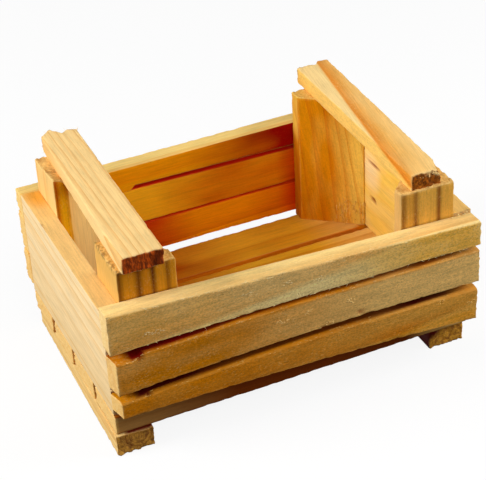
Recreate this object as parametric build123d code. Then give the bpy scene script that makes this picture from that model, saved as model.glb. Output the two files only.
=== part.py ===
import os

from build123d import *

# A small crate: slatted sides, two end boards, corner posts that carry a rail at each end.
# Millimetres. The front faces -Y, the left end -X, the ground is Z = 0.

# Sides
LENGTH = 150.0
WIDTH = 107.5
SIDE_H = 45.7
SLAT_T = 7.5
SLAT_GAP = 2.0
BOARD_T = 7.5

# Floor and feet
RUNNER_W = 15.0
RUNNER_H = 8.8
FLOOR_COUNT = 4
FLOOR_T = 7.9
FLOOR_GAP = 2.4
FLOOR_FRONT = 5.8
FLOOR_BACK = 1.0

# Corner posts and rails
POST_LEG = 22.5
POST_BLUNT = 5.5
POST_SHARP = 0.8
POST_RISE = 14.1
RAIL_W = 14.5
RAIL_H = 7.1

# Headless brads of flat wire, driven just under the face
BRAD_W = 1.25
BRAD_T = 1.0
BRAD_L = 16.0
FOOT_BRAD_L = 20.5
BRAD_SET = 0.4
BRAD_GAP = 0.03
END_BRAD_FROM_CORNER = 11.0
END_BRAD_FROM_EDGE = 12.0
RAIL_BRAD_FROM_CORNER = 6.0

# Slats are sawn and nailed out of true. Each is laid in the stack bottom first, and differs
# from its even place at the left and the right end: low edge, high edge, how far it stands out,
# how far each end is set in. The bow is how far the low and the high edge rise in the middle.
TRUE = {"bow": (0.0, 0.0), "out": (0.0, 0.0), "ends": (0.0, 0.0)}
FRONT_SLATS = {
    "bottom": {
        "low": (3.3, -1.1),
        "high": (-4.1, -1.4),
        "bow": (1.3, 1.8),
        "out": (0.0, 1.9),
        "ends": (1.7, 0.5),
    },
    "middle": {
        "low": (-2.7, 0.5),
        "high": (-1.7, 0.9),
        "bow": (1.9, 1.0),
        "out": (-0.8, 1.9),
        "ends": (1.3, 0.0),
    },
    "top": {
        "low": (-0.3, 2.8),
        "high": (2.2, -1.6),
        "bow": (0.3, 0.0),
        "out": (-2.4, 1.9),
    },
}
BACK_SLATS = {
    "bottom": {"low": (2.3, 2.3), "high": (2.5, 2.3)},
    "middle": {"low": (1.7, 1.4), "high": (4.8, 2.7)},
    "top": {"low": (4.7, 2.6), "high": (-0.9, 0.0)},
}

# One slat has a shallow rebate in its top edge, at its left end.
REBATED_SLAT = ("front", "middle")
REBATE_L = 10.5
REBATE_D = 1.1

# Rails and runners lie askew: how far the outer edge is set in from the end of the crate and
# what the width gains, both at the front and the back, and how far each end is set in.
RAILS = {
    "left": {"inset": (9.2, 12.4), "wider": (1.6, 0.0), "ends": (7.8, 3.5)},
    "right": {"inset": (12.4, 9.3), "wider": (-1.6, 0.2), "ends": (7.6, 1.0)},
}
RUNNERS = {
    "left": {"inset": (-1.0, 1.0), "wider": (0.0, 0.0), "ends": (4.8, 8.5)},
    "right": {"inset": (0.9, 1.2), "wider": (0.4, 0.0), "ends": (7.3, 8.5)},
}

# Most posts are cut blunt at both tips. This one kept its sharp tip on the end board.
SHARP_POST = ("right", "back")

FLOOR_TOP = RUNNER_H + FLOOR_T
SIDE_TOP = FLOOR_TOP + SIDE_H
POST_TOP = SIDE_TOP + POST_RISE
RAIL_TOP = POST_TOP + RAIL_H
BOARD_FACE = LENGTH / 2 - BOARD_T
BOARD_MIDDLE = LENGTH / 2 - BOARD_T / 2
ENDS = {"left": -1, "right": 1}
SIDES = {"front": -1, "back": 1}
SPARE = 20.0


def between(pair, t):
    """Value at share t of the way from the first to the second."""
    return pair[0] + (pair[1] - pair[0]) * t


def stack(slats):
    """Edge lines of the slats of one side, each at its left and its right end."""
    pitch = (SIDE_H + SLAT_GAP) / len(slats)
    rows = {}
    for i, (name, slat) in enumerate(slats.items()):
        low = FLOOR_TOP + i * pitch
        high = low + pitch - SLAT_GAP
        rows[name] = {
            **TRUE,
            **slat,
            "low": [low + change for change in slat["low"]],
            "high": [high + change for change in slat["high"]],
        }
    return rows


ROWS = {"front": stack(FRONT_SLATS), "back": stack(BACK_SLATS)}


def face_y(row, side, x):
    """Outer face of a slat at x."""
    return SIDES[side] * (WIDTH / 2 + between(row["out"], x / LENGTH + 0.5))


def edge_line(start, stop, bow):
    """Edge of a slat, straight or bowed up in the middle."""
    middle = (start + stop) / 2 + Vector(0, 0, bow)
    return ThreePointArc(start, middle, stop) if bow else Line(start, stop)


def side_panel(row, side, low, high, outer, inner, bow=(0, 0), ends=(0, 0)):
    """Prism between two edge lines, from one depth behind the slat's outer face to another."""
    left, right = -LENGTH / 2 + ends[0], LENGTH / 2 - ends[1]
    corners = []
    for x, z in ((left, low[0]), (right, low[1]), (right, high[1]), (left, high[0])):
        corners.append(Vector(x, face_y(row, side, x) - SIDES[side] * outer, z))
    a, b, c, d = corners
    outline = make_face([edge_line(a, b, bow[0]), Line(b, c), edge_line(c, d, bow[1]), Line(d, a)])
    return extrude(outline, amount=inner - outer, dir=(0, -SIDES[side], 0))


def rebate(row, side):
    """What a rebated slat gives up: all over the rebate's floor, near the left end."""
    floor = [z - REBATE_D for z in row["high"]]
    over = [z + SPARE for z in row["high"]]
    above = side_panel(row, side, floor, over, -SPARE, SPARE, (row["bow"][1], 0))
    return above & Pos(-LENGTH / 2, 0, 0) * Box(2 * REBATE_L, 2 * WIDTH, 2 * RAIL_TOP)


def side_slat(name, side):
    row = ROWS[side][name]
    slat = side_panel(row, side, row["low"], row["high"], 0, SLAT_T, row["bow"], row["ends"])
    return slat - rebate(row, side) if (side, name) == REBATED_SLAT else slat


def slat_seats(side):
    """What an end board gives up: all in front of each slat's inner face, gap to gap."""
    rows = list(ROWS[side].values())
    middles = []
    for lower, upper in zip(rows, rows[1:]):
        middles.append([(a + b) / 2 for a, b in zip(lower["high"], upper["low"])])
    lows = [(0, 0)] + middles
    highs = middles + [(POST_TOP, POST_TOP)]
    return [side_panel(row, side, *span, -SPARE, SLAT_T) for row, *span in zip(rows, lows, highs)]


def end_board(end):
    """One wide board, its edges cut in steps to the back of every slat."""
    size = (BOARD_T, WIDTH + SPARE, SIDE_H)
    board = Pos(ENDS[end] * BOARD_MIDDLE, 0, FLOOR_TOP + SIDE_H / 2) * Box(*size)
    return board - slat_seats("front") - slat_seats("back")


def post_corner(end, side):
    """Where the inner faces of the top slat and the end board meet."""
    x = ENDS[end] * BOARD_FACE
    return x, face_y(ROWS[side]["top"], side, x) - SIDES[side] * SLAT_T


def corner_post(end, side):
    """Three-cornered post, planed to the top slat and the end board."""
    x, y = post_corner(end, side)
    end_tip = POST_SHARP if (end, side) == SHARP_POST else POST_BLUNT
    plan = [
        (0, -SLAT_T),
        (POST_LEG, -SLAT_T),
        (POST_LEG, POST_BLUNT),
        (end_tip, POST_LEG),
        (0, POST_LEG),
    ]
    corners = [(x - ENDS[end] * a, y - SIDES[side] * b, FLOOR_TOP) for a, b in plan]
    outline = make_face(Polyline(*corners, close=True))
    post = extrude(outline, amount=POST_TOP - FLOOR_TOP, dir=(0, 0, 1))
    return post - side_panel(ROWS[side]["top"], side, (0, 0), (RAIL_TOP, RAIL_TOP), -SPARE, SLAT_T)


def bar_ends(bar):
    """Front and back end of a rail or runner."""
    return -WIDTH / 2 + bar["ends"][0], WIDTH / 2 - bar["ends"][1]


def bar_edges(bar, end, width, y):
    """Outer and inner edge of a rail or runner at y."""
    front, back = bar_ends(bar)
    t = (y - front) / (back - front)
    outer = LENGTH / 2 - between(bar["inset"], t)
    inner = outer - width - between(bar["wider"], t)
    return ENDS[end] * outer, ENDS[end] * inner


def cross_bar(bar, end, width, low, high):
    """A stick across the crate, a little tapered and askew."""
    front, back = bar_ends(bar)
    corners = [(x, front, low) for x in bar_edges(bar, end, width, front)]
    corners += [(x, back, low) for x in reversed(bar_edges(bar, end, width, back))]
    outline = make_face(Polyline(*corners, close=True))
    return extrude(outline, amount=high - low, dir=(0, 0, 1))


FLOOR_START = -WIDTH / 2 + FLOOR_FRONT
FLOOR_PITCH = (WIDTH - FLOOR_FRONT - SLAT_T - FLOOR_BACK + FLOOR_GAP) / FLOOR_COUNT
FLOOR_SLAT_W = FLOOR_PITCH - FLOOR_GAP
FLOOR_MIDDLES = [FLOOR_START + i * FLOOR_PITCH + FLOOR_SLAT_W / 2 for i in range(FLOOR_COUNT)]


def floor_slat(y):
    return Pos(0, y, RUNNER_H + FLOOR_T / 2) * Box(LENGTH, FLOOR_SLAT_W, FLOOR_T)


def driven(at, toward, length):
    """A brad set under the face at a point, and the hole it sits in."""
    axis = Plane(origin=at, z_dir=toward)
    base = (Align.CENTER, Align.CENTER, Align.MIN)
    brad = axis * Pos(0, 0, BRAD_SET) * Box(BRAD_W, BRAD_T, length, align=base)
    bore = (BRAD_W + 2 * BRAD_GAP, BRAD_T + 2 * BRAD_GAP, 2 * BRAD_SET + length)
    hole = axis * Pos(0, 0, -BRAD_SET) * Box(*bore, align=base)
    return brad, hole


def slat_brads(side):
    """One brad through each slat end, into the edge of the end board."""
    brads = []
    for row in ROWS[side].values():
        for end in ENDS.values():
            x = end * BOARD_MIDDLE
            t = x / LENGTH + 0.5
            z = (between(row["low"], t) + between(row["high"], t)) / 2
            brads.append(driven((x, face_y(row, side, x), z), (0, -SIDES[side], 0), BRAD_L))
    return brads


CORNERS = [(end, side) for end in ENDS for side in SIDES]


def end_board_brads():
    """Two brads through the end board into each post."""
    brads = []
    for end, side in CORNERS:
        y = post_corner(end, side)[1] - SIDES[side] * END_BRAD_FROM_CORNER
        for z in (FLOOR_TOP + END_BRAD_FROM_EDGE, SIDE_TOP - END_BRAD_FROM_EDGE):
            brads.append(driven((ENDS[end] * LENGTH / 2, y, z), (-ENDS[end], 0, 0), BRAD_L))
    return brads


def rail_brads():
    """One brad through each rail end into the post under it."""
    brads = []
    for end, side in CORNERS:
        y = post_corner(end, side)[1] - SIDES[side] * RAIL_BRAD_FROM_CORNER
        x = sum(bar_edges(RAILS[end], end, RAIL_W, y)) / 2
        brads.append(driven((x, y, RAIL_TOP), (0, 0, -1), BRAD_L))
    return brads


def foot_brads():
    """From below through runner and floor slat into the end board."""
    brads = []
    for end in ENDS.values():
        for y in FLOOR_MIDDLES:
            brads.append(driven((end * BOARD_MIDDLE, y, 0), (0, 0, 1), FOOT_BRAD_L))
    return brads


BRADS = {
    "front_slat_brads": slat_brads("front"),
    "back_slat_brads": slat_brads("back"),
    "end_board_brads": end_board_brads(),
    "rail_brads": rail_brads(),
    "foot_brads": foot_brads(),
}


def drilled(shape, *groups):
    return shape - [hole for group in groups for _, hole in BRADS[group]]


parts = {}
for side in SIDES:
    for name in ROWS[side]:
        parts[f"{side}_slat_{name}"] = drilled(side_slat(name, side), f"{side}_slat_brads")
for end in ENDS:
    holes = ("front_slat_brads", "back_slat_brads", "end_board_brads", "foot_brads")
    parts[f"{end}_end_board"] = drilled(end_board(end), *holes)
    rail = cross_bar(RAILS[end], end, RAIL_W, POST_TOP, RAIL_TOP)
    parts[f"{end}_rail"] = drilled(rail, "rail_brads")
    runner = cross_bar(RUNNERS[end], end, RUNNER_W, 0, RUNNER_H)
    parts[f"{end}_runner"] = drilled(runner, "foot_brads")
for end, side in CORNERS:
    parts[f"{side}_{end}_post"] = drilled(corner_post(end, side), "end_board_brads", "rail_brads")
for i, y in enumerate(FLOOR_MIDDLES):
    parts[f"floor_slat_{i + 1}"] = drilled(floor_slat(y), "foot_brads")
for name, group in BRADS.items():
    parts[name] = Compound([brad for brad, _ in group])

# The origin is on the ground under the middle.
box = Compound(list(parts.values())).bounding_box()
home = Pos(-box.center().X, -box.center().Y, -box.min.Z)

os.makedirs("parts", exist_ok=True)
for name, shape in parts.items():
    export_step(home * shape, f"parts/{name}.step")
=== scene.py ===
# %% [markdown]
# # A small slatted crate of rough-sawn pine
#
# The crate is knocked together from twenty sticks of pine: three slats on each long side, a wide
# board at each end, four three-cornered posts, a carrying rail on each pair of posts, and a floor
# of four slats on two runners. Nothing on it is square, every face is fresh off the saw, and that
# roughness is what makes it look like wood and not like plastic.
#
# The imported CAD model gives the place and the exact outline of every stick. In this lesson each
# plain stick gets a rougher twin that keeps its outline, and its own piece of pine.

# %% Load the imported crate
import math
import random

import bmesh
import bpy
import numpy as np
from mathutils import Matrix, Quaternion, Vector, noise


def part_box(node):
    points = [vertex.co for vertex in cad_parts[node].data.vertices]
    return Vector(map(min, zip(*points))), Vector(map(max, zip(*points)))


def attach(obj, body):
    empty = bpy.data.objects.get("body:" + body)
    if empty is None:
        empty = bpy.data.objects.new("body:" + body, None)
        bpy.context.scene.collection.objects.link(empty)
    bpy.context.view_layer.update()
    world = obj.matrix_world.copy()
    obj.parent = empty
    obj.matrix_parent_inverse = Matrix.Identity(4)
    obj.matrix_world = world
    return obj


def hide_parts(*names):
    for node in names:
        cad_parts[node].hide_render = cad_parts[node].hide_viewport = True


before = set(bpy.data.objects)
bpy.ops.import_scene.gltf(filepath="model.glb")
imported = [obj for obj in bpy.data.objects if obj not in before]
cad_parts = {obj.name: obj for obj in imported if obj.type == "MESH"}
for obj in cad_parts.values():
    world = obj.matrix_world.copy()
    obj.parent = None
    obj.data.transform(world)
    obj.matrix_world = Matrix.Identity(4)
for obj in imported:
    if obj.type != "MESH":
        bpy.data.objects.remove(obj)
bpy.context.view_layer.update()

MM = 0.001

# %% [markdown]
# ## The camera
#
# The picture was taken from above the front left corner with a long lens, so the slats run almost
# parallel and the far end is hardly smaller than the near one. A camera can be aimed with a
# constraint, but three plain angles keep it easy to read: where it looks along the ground, how far
# it looks down, and a small roll because the picture was not quite level. The lens shift moves the
# frame without changing the perspective.

# %% Camera
PICTURE_WIDTH = 486
PICTURE_HEIGHT = 480
CENTRE_RAY = (248.49, 248.64)
FOCAL_PIXELS = 1608.1


def in_scene(name, data):
    """A new object that is linked to the scene."""
    made = bpy.data.objects.new(name, data)
    bpy.context.scene.collection.objects.link(made)
    return made


lens = bpy.data.cameras.new("camera")
lens.sensor_width = 36.0
lens.lens = lens.sensor_width * FOCAL_PIXELS / PICTURE_WIDTH
lens.shift_x = (PICTURE_WIDTH / 2 - CENTRE_RAY[0]) / PICTURE_WIDTH
lens.shift_y = (CENTRE_RAY[1] - PICTURE_HEIGHT / 2) / PICTURE_WIDTH
lens.clip_start = 0.01

camera = in_scene("camera", lens)
bpy.context.scene.camera = camera
azimuth = math.radians(22.9028)
look_down = math.radians(33.6949)
roll = math.radians(-3.191)
gaze = Vector((math.sin(azimuth), math.cos(azimuth), -math.tan(look_down)))
camera.rotation_mode = "QUATERNION"
camera.rotation_quaternion = gaze.to_track_quat("-Z", "Y") @ Quaternion((0, 0, 1), roll)
camera.location = (-0.20499, -0.49077, 0.39498)
print("Lens:", round(lens.lens, 2), "mm, camera at", [round(v, 3) for v in camera.location])

# %% [markdown]
# ## Floor, world and soft boxes
#
# The crate stands on a white sweep. The window light comes from the left and a little from behind,
# so the left end and every upper edge are bright while the long front side lies in its own shade.
# A weaker second window at the front right lightens the right half of that side. A faint ceiling
# light and a faint fill from the front keep the inside and the shaded face from going black. Big
# area lamps give soft shadows. Each lamp gets a level instead of watts: a level of 1 would show a
# white card that faces the lamp as white.
#
# A floor that is white in the picture would also throw a lot of light up on the front side. So the
# camera sees a white floor with a soft shadow, while the crate gets the light of a darker one.

# %% Floor and world
bpy.context.scene.view_settings.view_transform = "Standard"


def empty_tree(owner):
    """Switch on the nodes of a world or material, and clear them."""
    owner.use_nodes = True
    owner.node_tree.nodes.clear()
    return owner.node_tree


def put(tree, kind, inputs=None, **options):
    """Add a node, set its options, and set or link its inputs."""
    made = tree.nodes.new(kind)
    for option, value in options.items():
        setattr(made, option, value)
    for socket, value in (inputs or {}).items():
        if isinstance(value, bpy.types.NodeSocket):
            tree.links.new(value, made.inputs[socket])
        else:
            made.inputs[socket].default_value = value
    return made


def maths(tree, operation, *values):
    return put(tree, "ShaderNodeMath", dict(enumerate(values)), operation=operation).outputs[0]


def colour_mix(tree, amount, first, second, kind="MIX"):
    return put(tree, "ShaderNodeMix", {0: amount, 6: first, 7: second}, data_type="RGBA",
               blend_type=kind).outputs[2]


def seen_directly(tree):
    """1 where the camera, a reflection or a view through glass looks, 0 for light on its way."""
    path = put(tree, "ShaderNodeLightPath").outputs
    mirrored = maths(tree, "MAXIMUM", path["Is Camera Ray"], path["Is Glossy Ray"])
    return maths(tree, "MAXIMUM", mirrored, path["Is Transmission Ray"])


def mesh_of(block, name):
    """Turn a finished bmesh into a mesh."""
    mesh = bpy.data.meshes.new(name)
    block.to_mesh(mesh)
    block.free()
    return mesh


ROOM_LEVEL = 0.13
FLOOR_HALF = 4.0
GLOW_SHARE = 0.89
WHITE = (1, 1, 1, 1)
SEEN_PAPER = (0.98, 0.98, 0.98, 1)
UNSEEN_PAPER = (0.10, 0.08, 0.06, 1)

world = bpy.data.worlds.new("white room")
bpy.context.scene.world = world
tree = empty_tree(world)
brightness = put(tree, "ShaderNodeMix", {0: seen_directly(tree), 2: ROOM_LEVEL, 3: 1.0})
room = put(tree, "ShaderNodeBackground", {"Color": WHITE, "Strength": brightness.outputs[0]})
put(tree, "ShaderNodeOutputWorld", {"Surface": room.outputs[0]})

sheet = bmesh.new()
bmesh.ops.create_grid(sheet, x_segments=1, y_segments=1, size=FLOOR_HALF)
white_floor = in_scene("white_floor", mesh_of(sheet, "white_floor"))

paper = bpy.data.materials.new("white paper")
tree = empty_tree(paper)
watched = seen_directly(tree)
matt = put(tree, "ShaderNodeBsdfDiffuse", {"Color": colour_mix(tree, watched, UNSEEN_PAPER, SEEN_PAPER)})
glow = put(tree, "ShaderNodeEmission", {"Color": WHITE, "Strength": 1.0})
share = maths(tree, "MULTIPLY", watched, GLOW_SHARE)
both = put(tree, "ShaderNodeMixShader", {0: share, 1: matt.outputs[0], 2: glow.outputs[0]})
put(tree, "ShaderNodeOutputMaterial", {"Surface": both.outputs[0]})
white_floor.data.materials.append(paper)
print("Room level:", ROOM_LEVEL)

# %% Soft boxes
AIM = Vector((0, 0, 0.035))


def soft_box(name, place, size, level):
    lamp = bpy.data.lights.new(name, "AREA")
    lamp.shape = "DISK"
    lamp.size = size
    toward = AIM - Vector(place)
    lamp.energy = level * (math.pi * toward.length) ** 2
    holder = in_scene(name, lamp)
    holder.location = place
    holder.rotation_mode = "QUATERNION"
    holder.rotation_quaternion = toward.to_track_quat("-Z", "Y")
    print(name, "gives", round(lamp.energy, 2), "W")


soft_box("window light", place=(-0.75, 0.12, 0.46), size=0.45, level=0.92)
soft_box("ceiling light", place=(0.05, 0.05, 0.90), size=0.70, level=0.08)
soft_box("second window", place=(0.48, -0.21, 0.33), size=0.30, level=0.62)
soft_box("front fill", place=(-0.15, -0.72, 0.58), size=0.50, level=0.19)

# %% [markdown]
# ## Pine: growth rings
#
# A plank is a slice through a stack of cones. Counting rings outward from the pith, the wood of
# spring is pale, it darkens slowly through the summer, and stops at a sharp line where the next
# spring starts. So the pattern is the distance from the pith, cut into ring widths, and run
# through a ramp that climbs slowly and falls at once. A band texture would give soft stripes, but
# only a pith somewhere beside the stick gives stripes on one face and broad flames on the next.
#
# The group takes a place in millimetres measured from the pith, with Z along the trunk, so each
# board only needs its own pith.

# %% Group: growth rings


def stretched(tree, place, scale):
    return put(tree, "ShaderNodeVectorMath", {0: place, 1: scale}, operation="MULTIPLY").outputs[0]


def cloud(tree, place, scale, detail=2.0, roughness=0.5):
    """Noise between 0 and 1, its place stretched first."""
    values = {"Vector": stretched(tree, place, scale), "Scale": 1.0, "Detail": detail, "Roughness": roughness}
    return put(tree, "ShaderNodeTexNoise", values).outputs["Fac"]


def ramp(tree, value, *stops):
    """A curve through (position, height) stops."""
    made = put(tree, "ShaderNodeValToRGB", {"Fac": value})
    points = made.color_ramp.elements
    while len(points) < len(stops):
        points.new(0.5)
    for point, (position, height) in zip(points, stops):
        point.position = position
        point.color = (height, height, height, 1)
    return made.outputs["Color"]


FLOAT = "NodeSocketFloat"
VECTOR = "NodeSocketVector"


def shader_group(name, takes, gives):
    """A node group with named sockets: its tree, what comes in, and where the masks go."""
    tree = bpy.data.node_groups.new(name, "ShaderNodeTree")
    for socket, kind, value in takes:
        made = tree.interface.new_socket(socket, in_out="INPUT", socket_type=kind)
        if value is not None:
            made.default_value = value
    for socket in gives:
        tree.interface.new_socket(socket, in_out="OUTPUT", socket_type=FLOAT)
    return tree, tree.nodes.new("NodeGroupInput").outputs, tree.nodes.new("NodeGroupOutput").inputs


def hand_out(tree, result, masks):
    """Link a group's masks to its outputs."""
    for socket, mask in masks.items():
        tree.links.new(mask, result[socket])
    print("Made", tree.name, "with", ", ".join(masks))


takes = [("Place", VECTOR, None), ("Ring", FLOAT, 6.0), ("Wander", FLOAT, 2.0), ("Start", FLOAT, 0.0),
         ("Uneven", FLOAT, 1.3)]
rings_tree, given, result = shader_group("growth rings", takes, ["Late wood", "Fibre"])
tree = rings_tree
place = given["Place"]
slow = cloud(tree, place, (0.05, 0.05, 0.012), detail=1.0)
quick = cloud(tree, place, (0.6, 0.6, 0.05), detail=2.0)
flat = put(tree, "ShaderNodeVectorMath", {0: stretched(tree, place, (1, 1, 0))}, operation="LENGTH")
bend = maths(tree, "MULTIPLY", maths(tree, "SUBTRACT", slow, 0.5), given["Wander"])
shiver = maths(tree, "MULTIPLY", maths(tree, "SUBTRACT", quick, 0.5), 0.7)
radius = maths(tree, "ADD", maths(tree, "ADD", flat.outputs["Value"], bend), shiver)
even = maths(tree, "ADD", maths(tree, "DIVIDE", radius, given["Ring"]), given["Start"])
weather = put(tree, "ShaderNodeTexNoise", {"W": even, "Scale": 0.55, "Detail": 1.0}, noise_dimensions="1D")
count = maths(tree, "MULTIPLY_ADD", weather.outputs["Fac"], given["Uneven"], even)
year = put(tree, "ShaderNodeTexWhiteNoise", {"W": maths(tree, "FLOOR", count)}, noise_dimensions="1D")
strength = maths(tree, "MULTIPLY_ADD", year.outputs["Value"], 0.6, 0.4)
season = ramp(tree, maths(tree, "FRACT", count), (0.0, 0.0), (0.10, 0.0), (0.60, 0.12), (0.84, 0.62),
              (0.96, 1.0), (1.0, 0.1))
fibre = cloud(tree, place, (1.7, 1.7, 0.09), detail=3.0, roughness=0.6)
hand_out(tree, result, {"Late wood": maths(tree, "MULTIPLY", season, strength), "Fibre": fibre})

# %% [markdown]
# ## Pine: what the saw leaves
#
# A rough-sawn face is covered in torn fibre: short pale hairs that catch the light, dark nicks
# between them, and faint ridges across the stick from the saw teeth. On the ends the blade cuts
# the fibres off like a bundle of straws, so the end looks darker and crumbly. Both could be
# modelled, but at a fraction of a millimetre they belong in colour and bump.

# %% Group: sawn face
sawn_tree, given, result = shader_group("sawn face", [("Place", VECTOR, None)],
                                        ["Hair", "Nick", "Fuzz", "Patch", "Height"])
tree = sawn_tree
place = given["Place"]
strands = cloud(tree, place, (2.0, 2.0, 0.9), detail=3.0, roughness=0.65)
tufts = cloud(tree, place, (0.16, 0.16, 0.09), detail=2.0)
grit = cloud(tree, place, (2.2, 2.2, 1.5), detail=2.0, roughness=0.6)
fuzz = cloud(tree, place, (1.5, 1.5, 1.0), detail=4.0, roughness=0.75)
patch = cloud(tree, place, (0.40, 0.40, 0.06), detail=3.0, roughness=0.6)
teeth = cloud(tree, place, (0.12, 0.12, 1.1), detail=2.0)
hair = maths(tree, "MULTIPLY", ramp(tree, strands, (0.0, 0.0), (0.54, 0.0), (0.70, 1.0)),
             ramp(tree, tufts, (0.0, 0.15), (0.42, 0.25), (0.62, 1.0)))
nick = maths(tree, "MULTIPLY", ramp(tree, grit, (0.0, 1.0), (0.33, 0.9), (0.42, 0.0)),
             ramp(tree, tufts, (0.0, 0.3), (0.5, 0.4), (0.65, 1.0)))
height = maths(tree, "ADD", maths(tree, "MULTIPLY", strands, 0.55), maths(tree, "MULTIPLY", grit, 0.25))
height = maths(tree, "ADD", height, maths(tree, "MULTIPLY", teeth, 0.30))
hand_out(tree, result, {"Hair": hair, "Nick": nick, "Fuzz": fuzz, "Patch": patch, "Height": height})

# %% Group: cut end
takes = [("Place", VECTOR, None), ("Clump", VECTOR, (0.9, 0.9, 0.9))]
end_tree, given, result = shader_group("cut end", takes, ["Pore", "Crumb", "Height"])
tree = end_tree
place = given["Place"]
bundle = stretched(tree, place, (1, 1, 0.5))
straws = put(tree, "ShaderNodeTexVoronoi", {"Vector": bundle, "Scale": 1.5})
clumps = cloud(tree, place, given["Clump"], detail=4.0, roughness=0.7)
pore = ramp(tree, clumps, (0.0, 1.0), (0.40, 0.8), (0.62, 0.0))
bits = cloud(tree, place, (1.1, 1.1, 1.1), detail=3.0, roughness=0.6)
crumb = ramp(tree, bits, (0.0, 0.0), (0.56, 0.0), (0.66, 1.0))
height = maths(tree, "ADD", maths(tree, "MULTIPLY", straws.outputs["Distance"], 0.4), clumps)
hand_out(tree, result, {"Pore": pore, "Crumb": crumb, "Height": height})

# %% [markdown]
# ## A material for each stick
#
# Every stick came from another part of another tree, so each gets its own material with its own
# pith, ring width and colours, built from the same three groups. The Mapping node turns the
# stick's length into the trunk's Z and moves the pith beside it. Five painted attributes tell the
# shader where it is on the stick: "end" on the sawn-off ends, "skin" on the faces that get
# a tint of their own, which on faces in shade is painted shade and bounce light, "edge" along the
# corners, which are rubbed pale, "stain" for resin stains and year lines and, in places,
# painted shade and light, and "deep" for painted shade in the gaps, gouges and corners
# and under the crate, and a few other dark marks.
#
# Colours are written as they should look on screen under full light, and turned into the linear
# values that the shader works with.

# %% Wood material


def shade(red, green, blue):
    """Screen colour 0 to 255 as linear red, green, blue, alpha."""
    linear = []
    for value in (red, green, blue):
        part = value / 255
        linear.append(part / 12.92 if part <= 0.04045 else ((part + 0.055) / 1.055) ** 2.4)
    return (*linear, 1.0)


# Rows that turn X, Y or Z of the crate into Z of the trunk.
TURNS = {
    "x": Matrix(((0, 1, 0), (0, 0, 1), (1, 0, 0))),
    "y": Matrix(((0, 0, 1), (1, 0, 0), (0, 1, 0))),
    "z": Matrix.Identity(3),
}
BUMP_STRENGTH = 0.55
BUMP_DEPTH = 0.25
WOOD_GLOSS = 0.08


def painted(tree, name):
    return put(tree, "ShaderNodeAttribute", attribute_name=name).outputs["Fac"]


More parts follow.
